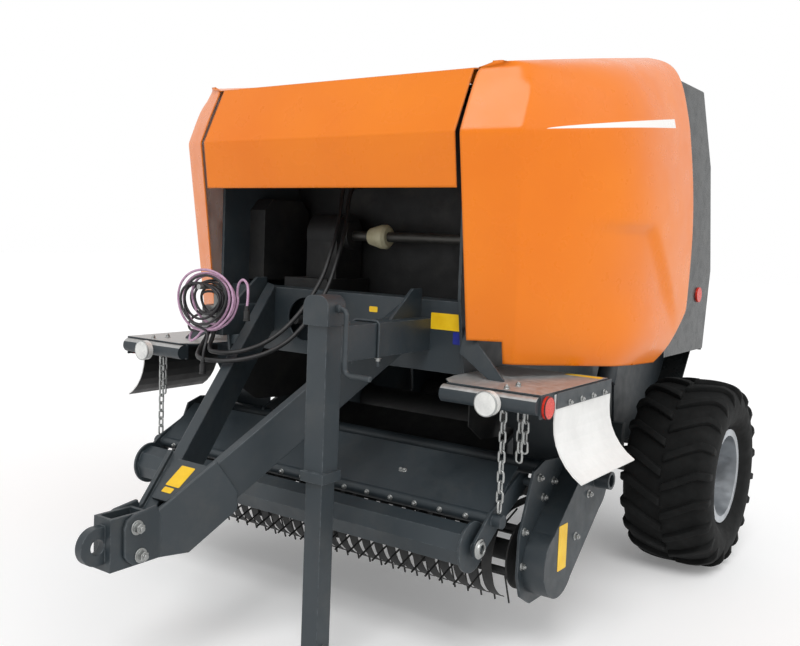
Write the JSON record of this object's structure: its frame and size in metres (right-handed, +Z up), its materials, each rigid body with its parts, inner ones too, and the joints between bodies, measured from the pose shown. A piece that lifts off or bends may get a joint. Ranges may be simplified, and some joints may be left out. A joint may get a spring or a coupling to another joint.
{
  "type": "trailed round baler with tined pickup",
  "caption": "Trailed fixed-chamber round baler: tined pickup, crop press roller, hinged hood and side panels, lifting tailgate, drawbar with tow eye and parking jack.",
  "frame": {"origin": "middle of the box on the ground, between the tow eye's tip and the tailgate", "axes": "+Z up, the drawbar points to -Y, +X is the machine's left side"},
  "size_m": [2.4, 3.5521, 2.322],
  "materials": {
    "orange_panel": "glossy orange",
    "slate_paint": "satin dark slate grey",
    "dark_paint": "satin near black",
    "tyre_rubber": "matt black",
    "hose_rubber": "matt black",
    "cable": "dull pinkish grey",
    "silver_paint": "silver",
    "galvanised": "galvanised steel",
    "steel": "bare steel",
    "white_plastic": "white",
    "cream_plastic": "cream",
    "lamp_lens": "clear ribbed lens",
    "red_lens": "red lens"
  },
  "bodies": {
    "chassis": {"side_wall_left": "slate_paint", "side_wall_right": "slate_paint", "front_wall": "dark_paint", "front_beam": "slate_paint", "side_rails": "slate_paint", "axle": "slate_paint", "drawbar": "slate_paint", "hitch_block": "slate_paint", "jack_tube": "slate_paint", "jack_crank": "steel", "gearbox": "dark_paint", "cross_shaft": "steel", "shaft_guard": "cream_plastic", "drive_case": "dark_paint", "front_rollers": "steel", "roof_cover": "orange_panel", "platform_left": "galvanised", "platform_right": "galvanised", "front_lamps": "lamp_lens", "side_reflectors": "red_lens", "flaps": "white_plastic", "hose_holder": "steel", "hose_upper": "hose_rubber", "hose_lower": "hose_rubber", "cable_coil": "cable", "guard_chain_left": "steel", "guard_chain_right": "steel"},
    "wheel_left": {"tyre_left": "tyre_rubber", "rim_left": "silver_paint"},
    "wheel_right": {"tyre_right": "tyre_rubber", "rim_right": "silver_paint"},
    "tailgate": {"tailgate_walls": "slate_paint", "tailgate_cover": "dark_paint", "tailgate_sides": "dark_paint", "tailgate_rollers": "steel", "rear_lamps": "red_lens"},
    "cylinder_left": {"barrel_left": "slate_paint"},
    "piston_left": {"rod_left": "steel"},
    "cylinder_right": {"barrel_right": "slate_paint"},
    "piston_right": {"rod_right": "steel"},
    "hood": {"front_hood": "orange_panel"},
    "panel_left": {"side_panel_left": "orange_panel"},
    "panel_right": {"side_panel_right": "orange_panel"},
    "pickup": {"pickup_frame": "slate_paint", "strippers": "dark_paint", "chain_case": "slate_paint"},
    "reel": {"reel": "dark_paint"},
    "guard": {"crop_guard": "slate_paint"},
    "press": {"press_roller": "slate_paint"},
    "jack": {"jack_leg": "slate_paint"}
  },
  "joints": [
    {"name": "wheel_left_spin", "type": "hinge", "parent": "chassis", "child": "wheel_left", "pos_m": [1, 0.956, 0.44], "axis": [1, 0, 0], "continuous": true},
    {"name": "wheel_right_spin", "type": "hinge", "parent": "chassis", "child": "wheel_right", "pos_m": [-1, 0.956, 0.44], "axis": [1, 0, 0], "continuous": true},
    {"name": "tailgate_lift", "type": "hinge", "parent": "chassis", "child": "tailgate", "pos_m": [0, 0.716, 2.26], "axis": [1, 0, 0], "range_deg": [0, 62]},
    {"name": "cylinder_left_swing", "type": "hinge", "parent": "chassis", "child": "cylinder_left", "pos_m": [0.68, 0.626, 0.83], "axis": [1, 0, 0], "range_deg": [0, 3.2]},
    {"name": "piston_left_slide", "type": "slide", "parent": "cylinder_left", "child": "piston_left", "axis": [0, 0.395, 0.9187], "range_m": [0, 0.5272]},
    {"name": "cylinder_right_swing", "type": "hinge", "parent": "chassis", "child": "cylinder_right", "pos_m": [-0.68, 0.626, 0.83], "axis": [1, 0, 0], "range_deg": [0, 3.2]},
    {"name": "piston_right_slide", "type": "slide", "parent": "cylinder_right", "child": "piston_right", "axis": [0, 0.395, 0.9187], "range_m": [0, 0.5272]},
    {"name": "hood_lift", "type": "hinge", "parent": "chassis", "child": "hood", "pos_m": [0, -0.084, 2.18012], "axis": [-1, 0, 0], "range_deg": [0, 75]},
    {"name": "panel_left_lift", "type": "hinge", "parent": "chassis", "child": "panel_left", "pos_m": [0.644, -0.394, 2.12868], "axis": [0, -0.9855, -0.1699], "range_deg": [0, 70]},
    {"name": "panel_right_lift", "type": "hinge", "parent": "chassis", "child": "panel_right", "pos_m": [-0.644, -0.394, 2.12868], "axis": [0, 0.9855, 0.1699], "range_deg": [0, 70]},
    {"name": "pickup_lift", "type": "hinge", "parent": "chassis", "child": "pickup", "pos_m": [0, 0.036, 0.755], "axis": [-1, 0, 0], "range_deg": [-6, 8]},
    {"name": "reel_spin", "type": "hinge", "parent": "pickup", "child": "reel", "pos_m": [0, -0.464, 0.36], "axis": [1, 0, 0], "continuous": true},
    {"name": "guard_lift", "type": "hinge", "parent": "pickup", "child": "guard", "pos_m": [0, -0.494, 0.64], "axis": [-1, 0, 0], "range_deg": [0, 24], "deforming": ["guard_chain_left", "guard_chain_right"]},
    {"name": "press_spin", "type": "hinge", "parent": "guard", "child": "press", "pos_m": [0, -0.809, 0.47], "axis": [1, 0, 0], "continuous": true},
    {"name": "jack_slide", "type": "slide", "parent": "chassis", "child": "jack", "axis": [0, 0, 1], "range_m": [0, 0.44]}
  ],
  "couplings": [
    {"joint": "cylinder_left_swing", "follows": "tailgate_lift", "ratio": 0.050733},
    {"joint": "piston_left_slide", "follows": "tailgate_lift", "m_per_rad": 0.48623},
    {"joint": "cylinder_right_swing", "follows": "tailgate_lift", "ratio": 0.050733},
    {"joint": "piston_right_slide", "follows": "tailgate_lift", "m_per_rad": 0.48623}
  ]
}
